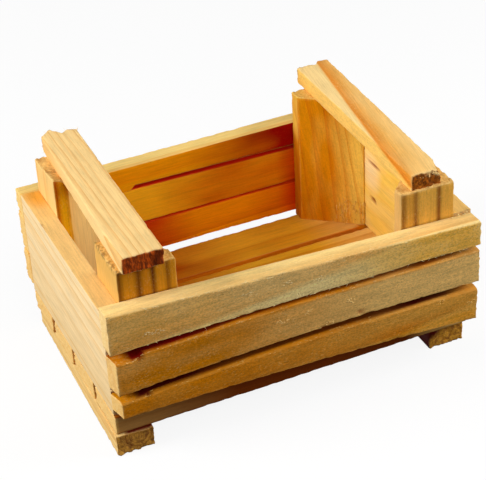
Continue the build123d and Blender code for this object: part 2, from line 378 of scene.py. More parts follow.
def pine(node, along, pith, ring, early, late, start=0.0, tilt=(0.0, 0.0), wander=2.0, uneven=1.3,
         skin=(255, 255, 255), stain=(190, 120, 60), deep=(150, 62, 20), rub=0.15, hair=0.35,
         hair_colour=(255, 226, 160), nick=0.35, nick_colour=(190, 140, 90), fuzz=0.35, patch=0.35,
         end=(150, 95, 40), end_share=0.75, end_rings=0.0, pore=(150, 105, 60), clump=(0.9, 0.9, 0.9),
         crumb=0.0, crumb_colour=(224, 140, 56)):
    """One stick's own pine: its pith in millimetres from the stick's middle, its rings and colours."""
    low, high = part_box(node)
    middle = (low + high) / 2 / MM
    lean = Matrix.Rotation(math.radians(tilt[0]), 3, "X") @ Matrix.Rotation(math.radians(tilt[1]), 3, "Y")
    turn = lean @ TURNS[along]
    wood = bpy.data.materials.new(node + " pine")
    tree = empty_tree(wood)
    place = put(tree, "ShaderNodeMapping", {
        "Vector": put(tree, "ShaderNodeTexCoord").outputs["Object"],
        "Scale": (1 / MM, 1 / MM, 1 / MM),
        "Rotation": turn.to_euler(),
        "Location": Vector((-pith[0], -pith[1], 0)) - turn @ middle,
    }).outputs[0]
    growth = {"Place": place, "Ring": ring, "Wander": wander, "Start": start, "Uneven": uneven}
    rings = put(tree, "ShaderNodeGroup", growth, node_tree=rings_tree).outputs
    sawn = put(tree, "ShaderNodeGroup", {"Place": place}, node_tree=sawn_tree).outputs
    cut = put(tree, "ShaderNodeGroup", {"Place": place, "Clump": clump}, node_tree=end_tree).outputs
    on_end = painted(tree, "end")
    on_tinted_side = painted(tree, "skin")

    def part(mask, amount):
        return maths(tree, "MULTIPLY", mask, amount)

    def times(tint):
        return colour_mix(tree, 1.0, colour, tint, "MULTIPLY")

    def tinted(mask, tint):
        return colour_mix(tree, mask, colour, times(shade(*tint)))

    colour = colour_mix(tree, rings["Late wood"], shade(*early), shade(*late))
    colour = times(ramp(tree, rings["Fibre"], (0.0, 0.70), (0.5, 0.97), (1.0, 1.18)))
    cloudy = ramp(tree, sawn["Patch"], (0.0, 0.45), (0.36, 0.72), (0.52, 1.0), (0.66, 1.15))
    colour = colour_mix(tree, patch, colour, times(cloudy))
    woolly = ramp(tree, sawn["Fuzz"], (0.25, 0.55), (0.5, 1.0), (0.75, 1.4))
    weathered = maths(tree, "MULTIPLY_ADD", on_tinted_side, 0.75, 0.25)
    colour = colour_mix(tree, part(weathered, fuzz), colour, times(woolly))
    # A tint on the sides that point given ways; on faces in shade it is painted shade and bounce light.
    colour = tinted(on_tinted_side, skin)
    # Stains and year lines, and in places painted shade and warm light.
    colour = tinted(painted(tree, "stain"), stain)
    colour = colour_mix(tree, part(sawn["Hair"], hair), colour, shade(*hair_colour))
    colour = tinted(part(sawn["Nick"], part(weathered, nick)), nick_colour)
    crumbly = colour_mix(tree, cut["Pore"], shade(*end), shade(*pore))
    crumbly = colour_mix(tree, part(cut["Crumb"], crumb), crumbly, shade(*crumb_colour))
    crumbly = colour_mix(tree, part(rings["Late wood"], end_rings), crumbly, shade(*pore))
    colour = colour_mix(tree, part(on_end, end_share), colour, crumbly)
    colour = colour_mix(tree, part(painted(tree, "edge"), rub), colour, shade(*hair_colour))
    # Painted shade in the gaps, gouges and corners and under the crate, and a few other dark marks.
    colour = tinted(painted(tree, "deep"), deep)

    height = put(tree, "ShaderNodeMix", {0: on_end, 2: sawn["Height"], 3: cut["Height"]}).outputs[0]
    relief = {"Strength": BUMP_STRENGTH, "Distance": BUMP_DEPTH * MM, "Height": height}
    bump = put(tree, "ShaderNodeBump", relief)
    body = put(tree, "ShaderNodeBsdfPrincipled", {
        "Base Color": colour,
        "Roughness": maths(tree, "MULTIPLY_ADD", rings["Late wood"], -0.12, 0.74),
        "Specular IOR Level": WOOD_GLOSS,
        "Normal": bump.outputs[0],
    })
    put(tree, "ShaderNodeOutputMaterial", {"Surface": body.outputs[0]})
    return wood


# %% [markdown]
# ## From a CAD stick to a rough one
#
# Each CAD stick is a block with flat faces and a few brad holes. A convex hull round its points
# gives the same block without the holes, and dissolving flat edges leaves its few true faces.
# Then a small bevel eases the edges, cuts across the stick and along it give a fine grid, and
# every point of the grid moves a little: the edges lose small chips, the faces wave, and the
# sawn-off ends turn ragged. A Displace modifier could do the moving, but edges, faces and ends
# need different amounts, and the same pass can paint the attributes for the material.

# %% Blocks and grids
AXIS = {"x": 0, "y": 1, "z": 2}
SAME_PLACE = 0.01 * MM
SNAP = 0.002 * MM
SHARP = math.radians(50)


def hull_block(points):
    """A closed block round some points, with one face for each flat side."""
    block = bmesh.new()
    for point in points:
        block.verts.new(point)
    bmesh.ops.remove_doubles(block, verts=block.verts[:], dist=SAME_PLACE)
    hull = bmesh.ops.convex_hull(block, input=block.verts[:])
    spare = set(hull["geom_interior"] + hull["geom_unused"])
    spare = [item for item in spare if isinstance(item, bmesh.types.BMVert)]
    bmesh.ops.delete(block, geom=spare, context="VERTS")
    bmesh.ops.dissolve_limit(block, angle_limit=math.radians(0.5), verts=block.verts[:], edges=block.edges[:])
    bmesh.ops.recalc_face_normals(block, faces=block.faces[:])
    return block


def corner_lines(block):
    """Both ends of every edge, taken before the edges are eased."""
    return np.array([[end.co[:] for end in edge.verts] for edge in block.edges])


def ease_edges(block, edges, width):
    bmesh.ops.bevel(block, geom=edges, offset=width * MM, offset_type="OFFSET", segments=2, profile=0.5,
                    affect="EDGES", clamp_overlap=True, material=-1)


def saw(block, place, way, snap=0.0):
    """Cut all faces along a plane, and keep both sides."""
    everything = block.verts[:] + block.edges[:] + block.faces[:]
    bmesh.ops.bisect_plane(block, geom=everything, plane_co=place, plane_no=way, dist=snap)


def fine_grid(block, along, cell, ease, worn_edges=(), wear=0.0):
    """Ease the edges, then saw lines all round the stick into cells of about that size in mm."""
    if worn_edges:
        ease_edges(block, list(worn_edges), wear)
    ease_edges(block, [edge for edge in block.edges if edge.calc_face_angle() > SHARP], ease)
    low = Vector([min(point.co[i] for point in block.verts) for i in range(3)])
    high = Vector([max(point.co[i] for point in block.verts) for i in range(3)])
    first = AXIS[along]
    for axis in (first, (first + 1) % 3, (first + 2) % 3):
        pace = (1.4 if axis == first else 1.0) * cell * MM
        steps = max(2, round((high - low)[axis] / pace))
        way = Vector([float(i == axis) for i in range(3)])
        for step in range(1, steps):
            saw(block, low + way * (high - low)[axis] * step / steps, way, SNAP)


# %% Marks on the wood
def rise(value, start, stop):
    """0 before start, 1 after stop, straight between them."""
    return min(1.0, max(0.0, (value - start) / (stop - start)))


def fade(axis, start, stop, amount=1.0):
    """A mark that grows from one place to another, for stains and for painted shade and light."""
    return lambda at: amount * rise(at[AXIS[axis]], start, stop)


def blot(centre, reach, amount=1.0):
    """A round resin stain."""
    return lambda at: amount * max(0.0, 1 - ((at - Vector(centre)).length / reach) ** 2)


def year_line(axis, place, half, amount=1.0):
    """A dark sheet of late wood across one axis."""
    return lambda at: amount * math.exp(-(((at[AXIS[axis]] - place) / half) ** 2))


def hollow(centre, reach):
    """Share of a gouge or chip at a place: 1 in its middle, 0 from its reach in x, y and z."""
    return lambda at: max(0.0, 1 - sum(((at[i] - centre[i]) / reach[i]) ** 2 for i in range(3)))


def dark_in(mark, amount=1.0):
    """Dark wherever a mark is."""
    return lambda at, out: amount * mark(at)


def pushed(mark, push):
    """A change of shape: a push in millimetres wherever a mark is."""
    return lambda at, out: Vector(push) * mark(at)


# %% Roughen
PAINTS = ("end", "skin", "edge", "stain", "deep")
CHIP_REACH = 0.7
RUB_REACH = 0.45


def distance_to_lines(points, lines):
    """Shortest way from each point to any of the lines."""
    start = lines[None, :, 0]
    run = lines[None, :, 1] - start
    share = ((points[:, None] - start) * run).sum(2) / (run * run).sum(2)
    nearest = start + run * np.clip(share, 0, 1)[:, :, None]
    return np.linalg.norm(points[:, None] - nearest, axis=2).min(1)


def noise_place(at, axis, across, lengthwise, drift):
    """Where to read noise that is stretched along the stick."""
    place = at * across + drift
    place[axis] = at[axis] * lengthwise + drift[axis]
    return place


def total(marks, *where):
    return sum(mark(*where) for mark in marks)


def roughen(block, lines, along, skin, seed, stains=(), skin_deep=False, bare=(), fresh=(), deep=(), shape=(),
            ragged=0.35, wave=0.12, chips=0.45):
    """Move every point a little, and paint ends, tinted sides, edges, stains and painted shade."""
    axis = AXIS[along]
    paint = {name: block.verts.layers.float.new(name) for name in PAINTS}
    block.normal_update()
    to_edge = distance_to_lines(np.array([point.co[:] for point in block.verts]), lines) / MM
    drift = Vector((seed * 17.3, seed * -9.1, seed * 4.7))
    moves = []
    for point, gap in zip(block.verts, to_edge):
        at = point.co / MM
        out = point.normal.copy()
        slow = noise_place(at, axis, 0.05, 0.02, drift)
        nibble = noise_place(at, axis, 0.9, 0.35, drift)
        near = math.exp(-(gap / CHIP_REACH) ** 2)
        push = wave * noise.noise(slow) + 0.05 * noise.noise(at * 1.3 + drift)
        push -= chips * near * max(0.0, noise.noise(nibble) + 0.15 * noise.noise(nibble * 3.1))
        move = out * push
        end = abs(out[axis]) ** 2
        if end > 0.2:
            tear = noise.fractal(at * 0.55 + drift, 0.7, 2.1, 4)
            tear -= 0.6 * near
            move[axis] += math.copysign(ragged * tear * end, out[axis])
        for change in shape:
            move += change(at, out)
        moves.append(move)
        # The tinted sides; on faces in shade their tint is painted shade and bounce light.
        seen = 1.0 if any(out.dot(Vector(way)) > 0.8 for way in skin) else 0.0
        seen *= max(0.0, 1 - total(bare, at))
        patchy = 0.85 + 0.35 * noise.noise(slow * 3 + drift)
        # Stains, and in places painted shade and light.
        stain_and_shade_share = patchy * total(stains, at) * (seen if skin_deep else 1 - end)
        point[paint["end"]] = max(0.0, 1 - total(fresh, at)) if end > 0.5 else 0.0
        point[paint["skin"]] = seen
        point[paint["edge"]] = math.exp(-(gap / RUB_REACH) ** 2) * (0.5 + 0.5 * noise.noise(nibble * 0.6))
        point[paint["stain"]] = min(1.0, max(0.0, stain_and_shade_share))
        # Painted shade, and a few other dark marks.
        point[paint["deep"]] = min(1.0, total(deep, at, out))
    for point, move in zip(block.verts, moves):
        point.co += move * MM


# %% Torn fibres
FIBRE_TIP = 0.02
FIBRE_RUB = 3.0
FLAT_FACE = 0.97


def fibres(block, along, seed, count, wanted, length=(0.6, 1.8), thick=0.12, lift=(0.1, 0.35)):
    """Thin points with three sides that lie along the stick and lift off it where wanted."""
    dice = random.Random(seed)
    on_edge = block.verts.layers.float["edge"]
    block.normal_update()
    spots = []
    for point in block.verts:
        if wanted(point.co / MM, point.normal):
            spots.append((point.co.copy(), point.normal.copy()))
    run = Vector([float(i == AXIS[along]) for i in range(3)])
    chosen = dice.sample(spots, count) if count <= len(spots) else dice.choices(spots, k=count)
    for spot, out in chosen:
        size = dice.uniform(*length)
        spot = spot + run * dice.uniform(-0.5, 0.5) * MM
        if max(abs(part) for part in out) > FLAT_FACE:
            spot += out.cross(run) * dice.uniform(-0.4, 0.4) * MM
        lie = (run * dice.uniform(-1, 1) + out * dice.uniform(*lift)).normalized()
        turn = lie.to_track_quat("Z", "Y").to_matrix().to_4x4()
        made = bmesh.ops.create_cone(block, cap_ends=True, segments=3, radius1=thick * MM,
                                     radius2=FIBRE_TIP * MM, depth=size * MM,
                                     matrix=Matrix.Translation(spot + lie * 0.3 * size * MM) @ turn)
        for point in made["verts"]:
            point[on_edge] = FIBRE_RUB


# %% Crumbs
def crumbs(block, seed, count, low, high, size=(0.2, 0.5)):
    """Loose bits of wood between two corners, each a squashed little ball."""
    dice = random.Random(seed)
    on_edge = block.verts.layers.float["edge"]
    for number in range(count):
        spot = Vector([dice.uniform(*span) for span in zip(low, high)]) * MM
        turn = Matrix.Rotation(dice.uniform(0, math.tau), 4, (1, 1, 1))
        squash = Matrix.Diagonal((1.0, dice.uniform(0.5, 0.9), dice.uniform(0.4, 0.7), 1.0))
        made = bmesh.ops.create_icosphere(block, subdivisions=1, radius=dice.uniform(*size) * MM,
                                          matrix=Matrix.Translation(spot) @ turn @ squash)
        rubbed = dice.uniform(0.5, 1.8)
        for point in made["verts"]:
            point[on_edge] = rubbed


# %% From block to piece
def stick(node, block, wood):
    """Make the finished block a piece that stands for its CAD node."""
    for face in block.faces:
        face.smooth = True
    mesh = mesh_of(block, node + "_rough")
    mesh.materials.append(wood)
    piece = in_scene(node + "_rough", mesh)
    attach(piece, "root")
    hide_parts(node)
    print(piece.name, "has", len(mesh.polygons), "faces")


def cad_points(node):
    return [point.co.copy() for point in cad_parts[node].data.vertices]


def box_mm(node):
    """A node's low and high corner in millimetres."""
    return [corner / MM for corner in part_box(node)]


def rough_stick(node, along, slot, wood, skin=(), cell=0.9, ease=0.3, seed=1, extra=None, **rough):
    """A rough twin of a convex CAD stick, with loose fibres or crumbs if extra adds them."""
    block = hull_block(cad_points(node))
    lines = corner_lines(block)
    fine_grid(block, along, cell, ease)
    roughen(block, lines, along, skin, seed, **rough)
    if extra:
        extra(block)
    stick(node, block, wood)


# %% [markdown]
# ## The front slats
#
# Three slats close the long front side. They are flat-sawn, so the rings come out as one or two
# broad bands that run a little askew along the face. The face is furred and nicked, the top edge is
# fresh, and the tints on both are painted shade and light.
#
# These slats have dried crooked: their edges rise in the middle, and the middle slat has a shallow
# rebate at its left end. A hull would straighten all that. So the hull goes round the two ends
# alone, and the finished grid is bowed afterwards.

# %% Front slat ends
REBATE_STOP = -64.0
REBATE_DEPTH = 1.1


def slat_ends(name):
    """Points of a front slat's left and right end, the middle slat's as if it had no rebate."""
    points = cad_points("front_slat_" + name)
    ends = []
    for x in (min(p.x for p in points), max(p.x for p in points)):
        ends.append([p for p in points if abs(p.x - x) < SAME_PLACE])
    if name == "middle":
        waist = sum(p.z for p in ends[0]) / len(ends[0])
        for point in ends[0]:
            point.z += REBATE_DEPTH * MM * (point.z > waist)
    return ends


front_ends = {name: slat_ends(name) for name in ("bottom", "middle", "top")}
LOW, HIGH, OUTER, INNER = 1, 2, 3, 4
front_lines = {}
for name, ends in front_ends.items():
    rows = []
    for end in ends:
        heights = [p.z / MM for p in end]
        depths = [p.y / MM for p in end]
        rows.append((end[0].x / MM, min(heights), max(heights), min(depths), max(depths)))
    front_lines[name] = np.array(rows)
    print(name, "slat, ends in mm:", [[round(value, 1) for value in row] for row in rows])


def along_slat(name, x, line):
    """Where a straight line of a front slat is at x."""
    rows = front_lines[name]
    return float(np.interp(x, rows[:, 0], rows[:, line]))


# %% Front slat shapes
def upper_front_edge(block):
    """The long edge that is highest at the front."""
    long_edges = [edge for edge in block.edges if edge.calc_length() > 100 * MM]
    return max(long_edges, key=lambda edge: sum(end.co.z - end.co.y for end in edge.verts))


def bow(block, name, low_rise, high_rise):
    """Raise the middle of a slat, its low and its high edge by their own amounts."""
    left, right = front_lines[name][:, 0]
    for point in block.verts:
        x, z = point.co.x / MM, point.co.z / MM
        low, high = along_slat(name, x, LOW), along_slat(name, x, HIGH)
        across = (z - low) / (high - low)
        way = (x - left) / (right - left)
        point.co.z += (low_rise + (high_rise - low_rise) * across) * 4 * way * (1 - way) * MM


def cut_rebate(block, name):
    """Lower the slat's top by the rebate, left of where that stops."""
    for point in block.verts:
        x, z = point.co.x / MM, point.co.z / MM
        top = along_slat(name, x, HIGH)
        share = rise(x, REBATE_STOP + 0.4, REBATE_STOP - 0.5) * rise(z, top - 3, top)
        point.co.z -= REBATE_DEPTH * share * MM


def crest(name, height):
    """A slat's upper front edge is worn to a slope, and behind it the top is higher than the face."""
    def change(at, out):
        top = along_slat(name, at.x, HIGH)
        depth = at.y - along_slat(name, at.x, OUTER)
        return Vector((0, 0, height * rise(at.z, top - 2.5, top - 0.3) * rise(depth, 0.0, 1.2)))
    return change


def slanted_end(name):
    """The left end is sawn askew: set in at the face, and level with the end board behind it."""
    left = front_lines[name][0, 0]
    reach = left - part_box("left_end_board")[0].x / MM

    def change(at, out):
        depth = rise(at.y, along_slat(name, at.x, OUTER), along_slat(name, at.x, INNER))
        return Vector((-reach * depth * rise(at.x, left + 5, left), 0, 0))
    return change


def bent_edge(name, line, places, bends):
    """An edge dips or rises from its straight line, by its own amount at each place along the slat."""
    def change(at, out):
        near = rise(abs(at.z - along_slat(name, at.x, line)), 3.0, 0.4)
        return Vector((0, 0, near * float(np.interp(at.x, places, bends))))
    return change


# How much painted shade lies behind each slat's face, from the left to the right end.
gap_shades = {
    "top": ((-69, -67, 70), (0.0, 1.0, 1.0)),
    "middle": ((-69, -67, -45, -25, 0, 30, 45, 52, 64, 70),
               (0.3, 1.0, 1.0, 0.85, 0.62, 0.55, 0.55, 0.75, 0.5, 0.0)),
    "bottom": ((-69, -66, -45, -30, 35, 48, 62, 70), (0.0, 1.0, 1.0, 0.85, 0.85, 1.0, 0.9, 0.2)),
}
# The least painted shade on the narrow sides, right up to the face.
LIP_SHADE = ((-66, -40, 0, 60), (0.25, 0.2, 0.15, 0.1))
# How far behind the face the painted shade starts: closer where the middle slat's rebate ends.
SHADE_START = ((-68, -67, -62.6, -62), (0.8, 0.0, 0.0, 0.8))


def behind_face(name):
    """Painted shade on the slat's narrow sides from some way behind its face, but not on the open top."""
    sides = (-1,) if name == "top" else (-1, 1)

    def amount(at, out):
        facing = max(0.0, max(out.z * side for side in sides))
        start = np.interp(at.x, *SHADE_START)
        inside = rise(at.y - along_slat(name, at.x, OUTER), start, start + 0.6)
        inside *= np.interp(at.x, *gap_shades[name])
        return facing ** 2 * float(max(inside, np.interp(at.x, *LIP_SHADE)))
    return amount


# %% Front slat marks
def upper_side(name, at):
    """1 on a slat's upper side, 0 from a little way down its face."""
    top = along_slat(name, at.x, HIGH)
    return rise(at.z, top - 0.8, top - 0.2)


def warm_light_tint(at):
    """Painted warm light at both ends of the top slat's face, and evenly along its upper side."""
    upper = upper_side("top", at)
    return (0.8 * rise(at.x, -10, -60) + 1.1 * rise(at.x, 10, 50)) * (1 - upper) + 0.4 * upper


# Tints on the front slats: painted warm light on the top one; on the lower two, painted shade that deepens
# towards their left ends and orange bounce light painted along their upper sides, and a deeper tint low at
# the right of the bottom one.
front_stains = {
    "top": [warm_light_tint],
    "middle": [fade("x", 32, -40, 1.1), lambda at: 0.9 * upper_side("middle", at)],
    "bottom": [fade("x", 50, -30, 1.1), lambda at: 0.8 * rise(at.x, 10, 45) * rise(at.z, 24, 19),
               lambda at: 0.6 * upper_side("bottom", at)],
}
front_gouges = {
    "top": [],
    "middle": [hollow((24, -54.5, 34.0), (2.2, 2.0, 0.9)), hollow((27.5, -54.5, 31.8), (2.6, 2.0, 0.9)),
               hollow((-63.8, -51.5, 44.6), (1.3, 3.5, 1.6))],
    "bottom": [hollow((-62.5, -52.8, 27.2), (1.6, 2.2, 1.6))],
}
# Where the saw pulled up small tufts of fibre: x and z on the face.
front_tufts = {
    "top": ((-60, 53), (-56, 53), (-21, 58), (-5, 58), (8, 55.6), (-1, 51.0)),
    "middle": ((-8.5, 42), (3, 42.6), (20, 42.4), (11, 35)),
    "bottom": ((59, 28.4), (72, 24.4)),
}


def in_tuft(name):
    def wanted(at, out):
        return out.y < -0.8 and any(abs(at.x - x) + 2 * abs(at.z - z) < 2.6 for x, z in front_tufts[name])
    return wanted


def on_front_edge(side):
    """On the upper front edge for side 1, on the lower one for side -1, but not at the ends."""
    return lambda at, out: out.y < -0.3 and out.z * side > 0.3 and abs(at.x) < 71


print("Tufts on the front:", sum(len(places) for places in front_tufts.values()))

# %% Front slats
FRONT = (0, -1, 0)
SLAT_CELL = 0.9
SLAT_EASE = 0.12
GOUGE_DEPTH = 0.7
FIBRES_IN_TUFT = 18
SLAT_END = dict(end=(252, 216, 150), end_share=0.6, pore=(236, 184, 104))
front_pine = {
    "top": dict(pith=(30, 7), early=(255, 230, 162), late=(240, 190, 112), tilt=(1.2, 0.0), start=0.1,
                skin=(255, 253, 244), stain=(253, 218, 140), hair_colour=(255, 236, 178), deep=(90, 19, 2)),
    "middle": dict(pith=(30, -12), early=(250, 206, 122), late=(220, 152, 54), tilt=(-0.8, 0.0), start=0.4,
                   skin=(250, 248, 250), stain=(228, 174, 6), hair_colour=(255, 222, 146), deep=(150, 30, 2)),
    "bottom": dict(pith=(28, 6), early=(248, 198, 104), late=(222, 152, 52), tilt=(0.5, 0.0), start=0.2,
                   skin=(250, 248, 236), stain=(244, 200, 4), hair_colour=(250, 210, 120), deep=(90, 19, 2)),
}
top_dips = ((-75, -60, -25, 0, 25, 49, 66), (-0.7, -0.45, -0.5, -0.35, -0.95, -0.6, -1.1))
middle_dips = ((-64, -62, -50, -40, -25, 0, 25), (0.0, 0.3, 0.35, 0.25, 0.75, 0.6, -0.1))
front_edges = {
    "top": [bent_edge("top", LOW, *top_dips)],
    "middle": [crest("middle", 0.55), bent_edge("middle", HIGH, *middle_dips)],
    "bottom": [crest("bottom", 0.9)],
}
front_bows = {"top": (0.3, 0.0), "middle": (1.9, 1.0), "bottom": (1.3, 1.8)}
front_wear = {"top": 0.7, "middle": 0.3, "bottom": 0.3}
for number, (name, look) in enumerate(front_pine.items()):
    node = "front_slat_" + name
    block = hull_block([point for end in front_ends[name] for point in end])
    lines = corner_lines(block)
    face_lines = lines[lines[:, :, 1].max(1) < lines[:, :, 1].mean()]
    fine_grid(block, "x", SLAT_CELL, SLAT_EASE, [upper_front_edge(block)], front_wear[name])
    gouges = front_gouges[name]
    # Painted shade behind the face and in the gouges.
    dark = [behind_face(name)] + [dark_in(gouge, 0.9) for gouge in gouges]
    shape = [slanted_end(name)] + [pushed(gouge, (0, GOUGE_DEPTH, 0)) for gouge in gouges] + front_edges[name]
    roughen(block, face_lines, "x", [FRONT], seed=3 + number, stains=front_stains[name], deep=dark,
            shape=shape)
    bow(block, name, *front_bows[name])
    if name == "middle":
        cut_rebate(block, name)
    fibres(block, "x", seed=70 + number, count=55, wanted=on_front_edge(1))
    if name == "top":
        fibres(block, "x", seed=75, count=45, wanted=on_front_edge(-1))
    fibres(block, "x", seed=80 + number, count=FIBRES_IN_TUFT * len(front_tufts[name]), wanted=in_tuft(name),
           length=(0.4, 1.2), thick=0.14, lift=(0.05, 0.25))
    if name == "top":
        crumbs(block, seed=90, count=9, low=(65, -48.2, 61.0), high=(74, -46.9, 61.5), size=(0.3, 0.6))
    wood = pine(node, "x", ring=11.0, hair=0.5, nick=0.6, nick_colour=(165, 115, 60), fuzz=0.9, patch=0.4,
                rub=0.25, **SLAT_END, **look)
    stick(node, block, wood)

# %% [markdown]
# ## The back slats
#
# The back is closed by three more slats, nailed straight. What shows from the front is their inner
# face, tinted a deeper orange than the fresh top edge as painted shade and orange bounce light from
# inside the crate. At the left, torn fibres of the top slat hang down and close the gap under it.

# %% Back slats
EDGE = (0, -0.707, 0.707)
back_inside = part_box("back_slat_middle")[0].y / MM
back_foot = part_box("back_slat_bottom")[0].z / MM


def inside_gap(name):
    """Painted shade on the slat's narrow sides near the inside, but not on the open top."""
    def amount(at, out):
        side = -out.z if name == "top" else abs(out.z)
        depth = at.y - back_inside
        return max(0.0, side) ** 2 * rise(depth, -0.2, 0.5) * rise(depth, 4.0, 2.8) * rise(abs(at.x), 70, 68)
    return amount


def shaded_corner(at, out):
    """Painted shade towards the corner with the right post, on the two lower slats."""
    return 0.8 * max(0.0, -out.y) * rise(at.x, 37, 46.5)


def sunk_edge(at, out):
    """The bottom slat's lower edge sinks a little towards the right."""
    return Vector((0, 0, -0.5 * rise(at.z, back_foot + 3, back_foot + 0.5) * rise(at.x, 15, 50)))


def hanging_lip(at, out):
    """How far the top slat's torn lower edge hangs down at the left."""
    edge = np.interp(at.x, (-75, 75), (53.2, 51.1))
    near = rise(at.z, edge + 2.5, edge + 0.5) * rise(at.y, back_inside + 4, back_inside + 2)
    return Vector((0, 0, -2.1 * near * rise(at.x, -26.5, -29.0)))


# The strong tints on the inner faces are painted shade and orange bounce light.
back_pine = {
    "top": dict(pith=(-25, 8), ring=8.0, early=(255, 218, 132), late=(248, 196, 104), tilt=(0.8, 0.0),
                start=0.3, skin=(247, 196, 6), stain=(168, 6, 8), deep=(150, 30, 4)),
    "middle": dict(pith=(-30, -6), ring=8.0, early=(252, 206, 120), late=(230, 164, 70), tilt=(-0.6, 0.0),
                   skin=(255, 230, 70), stain=(220, 166, 30), deep=(246, 44, 4)),
    "bottom": dict(pith=(-22, 4), ring=9.0, early=(252, 202, 112), late=(228, 158, 60), tilt=(0.4, 0.0),
                   skin=(255, 204, 4), stain=(214, 108, 150), deep=(255, 110, 6)),
}
# The stains that grow towards the right are partly resin and partly painted shade; the round blot on the
# bottom slat is resin.
back_rough = {
    "top": dict(skin=[FRONT], stains=[fade("x", -5, 40, 1.25)], deep=[inside_gap("top")],
                shape=[hanging_lip]),
    "middle": dict(skin=[FRONT, EDGE], stains=[fade("x", -20, 4)],
                   deep=[inside_gap("middle"), shaded_corner]),
    "bottom": dict(skin=[FRONT, EDGE], stains=[blot((-30, 46.8, 24), 30, 1.2), fade("x", 22, 44, 0.7)],
                   deep=[inside_gap("bottom"), shaded_corner], shape=[sunk_edge]),
}
for number, (name, look) in enumerate(back_pine.items()):
    node = "back_slat_" + name
    wood = pine(node, "x", hair=0.05, hair_colour=(255, 180, 30), nick=0.1, fuzz=0.12, patch=0.15, rub=0.03,
                **SLAT_END, **look)
    rough_stick(node, "x", "slat_wood", wood, seed=11 + number, skin_deep=True, **back_rough[name])

# %% [markdown]
# ## The end boards
#
# One wide board closes each end. Its front edge is cut in steps, because each slat stands out
# differently and the board has to meet the back of every one of them. So it isn't convex, and the
# hull would fill the steps. A cube of the board's size is cut just above and below each joint
# between two slats, and the points of the front edge move to the slat that they meet.

# %% End boards
UP = (0, 0, 1)
LEDGE = 0.08
BOARD_CELL = 1.0
BOARD_EASE = 0.12


def stepped_block(node):
    """A board whose front edge meets the back of each front slat."""
    low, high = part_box(node)
    size = high - low
    block = bmesh.new()
    place = Matrix.Translation((low + high) / 2) @ Matrix.Diagonal((*size, 1))
    bmesh.ops.create_cube(block, size=1.0, matrix=place)
    side = (low.x + high.x) / 2 / MM
    joints = []
    for lower, upper in (("bottom", "middle"), ("middle", "top")):
        joints.append((along_slat(lower, side, HIGH) + along_slat(upper, side, LOW)) / 2)
    for joint in joints:
        for ledge in (-LEDGE, LEDGE):
            saw(block, (0, 0, (joint + ledge) * MM), UP)
    for point in block.verts:
        if point.co.y < 0:
            slat = ("bottom", "middle", "top")[sum(point.co.z / MM > joint for joint in joints)]
            point.co.y = along_slat(slat, point.co.x / MM, INNER) * MM
    return block


end_pine = {
    "left": dict(pith=(-38, 4), ring=8.4, early=(254, 224, 172), late=(245, 200, 130), tilt=(0.0, -1.0),
                 wander=5.0, uneven=2.0, stain=(236, 228, 208), deep=(255, 216, 132)),
    "right": dict(pith=(-60, -6), ring=9.0, early=(255, 228, 168), late=(254, 219, 150), tilt=(0.0, 0.8),
                  wander=3.0, stain=(255, 240, 148), deep=(150, 76, 14)),
}
# The left board's top is tinted more orange at its far end.
left_low, left_high = box_mm("left_end_board")
far_top_tint = hollow((left_low.x + 5.0, left_high.y - 4.0, left_high.z), (6.0, 11.0, 2.0))
# The right board has a painted highlight, a short crack along its grain and a notch, all beside
# the far post; the crack and the notch get painted shade.
painted_highlight = hollow((68, 20, 46), (3, 10, 12))
crack = hollow((68.0, 16.6, 50.2), (1.5, 6.5, 1.0))
notch = hollow((68.0, 17.6, 33.0), (1.5, 3.2, 1.5))


def inner_face_tint(at):
    """The right board's inner face is tinted yellower, apart from its painted highlight."""
    return (1 - painted_highlight(at)) * rise(at.x, 69.5, 68.5)


end_rough = {
    "left": dict(stains=[fade("z", 45, 8)], deep=[dark_in(far_top_tint)]),
    "right": dict(stains=[inner_face_tint], deep=[dark_in(crack), dark_in(notch)],
                  shape=[pushed(crack, (0.5, 0, 0)), pushed(notch, (0.9, 0, 0))]),
}
for number, (name, look) in enumerate(end_pine.items()):
    node = name + "_end_board"
    block = stepped_block(node)
    lines = corner_lines(block)
    top_lines = lines[lines[:, :, 2].min(1) > lines[:, :, 2].max() - 0.1 * MM]
    fine_grid(block, "y", BOARD_CELL, BOARD_EASE)
    roughen(block, top_lines, "y", [UP], seed=21 + number, ragged=0.0, chips=0.3, **end_rough[name])
    wood = pine(node, "y", skin=(246, 228, 186), hair=0.2, nick=0.15, fuzz=0.2, patch=0.2, end=(225, 170, 90),
                **look)
    stick(node, block, wood)

# %% [markdown]
# ## The corner posts
#
# Each corner has a post sawn from a square stick cut corner to corner, with its sharp tips cut
# blunt. Its rings show as dark stripes on the front face, while the slanted face inside shows
# flames.

# %% Post marks
INWARD = (-0.707, -0.707, 0)
near_low, near_high = box_mm("front_left_post")
far_low, far_high = box_mm("back_left_post")


def year_lines(node, *lines):
    """Late wood at given millimetres from the left edge of a post."""
    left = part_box(node)[0].x / MM
    return [year_line("x", left + place, half, amount) for place, half, amount in lines]


def behind_slats(at, out):
    """Painted shade on the front face of a post below the top of the front slats."""
    top = along_slat("top", at.x, HIGH)
    return max(0.0, -out.y) ** 2 * rise(at.z, top + 0.8, top - 0.8)


def crumbled_edge(at, out):
    """Dark specks along the outer top edge of the near left post."""
    near = rise(at.x, near_low.x + 2.4, near_low.x + 0.8) * rise(at.z, near_high.z - 1.6, near_high.z - 0.6)
    return 0.55 * near * rise(noise.noise(at * 1.2), -0.05, 0.2)


def outer_side(at, out):
    """The side of the far left post that faces out is a little greyer."""
    return max(0.0, -out.x)


def blunt_tip(at, out):
    """Painted shade on the blunt tip of the far right post, above all below the top of the back slats."""
    return rise(-out.x, 0.8, 0.95) * (0.5 + 0.5 * rise(at.z, 62, 54))


def on_splintered_foot(at, out):
    return 19 < at.z < 29 and at.x > 58 and out.dot(Vector(INWARD)) > 0.7


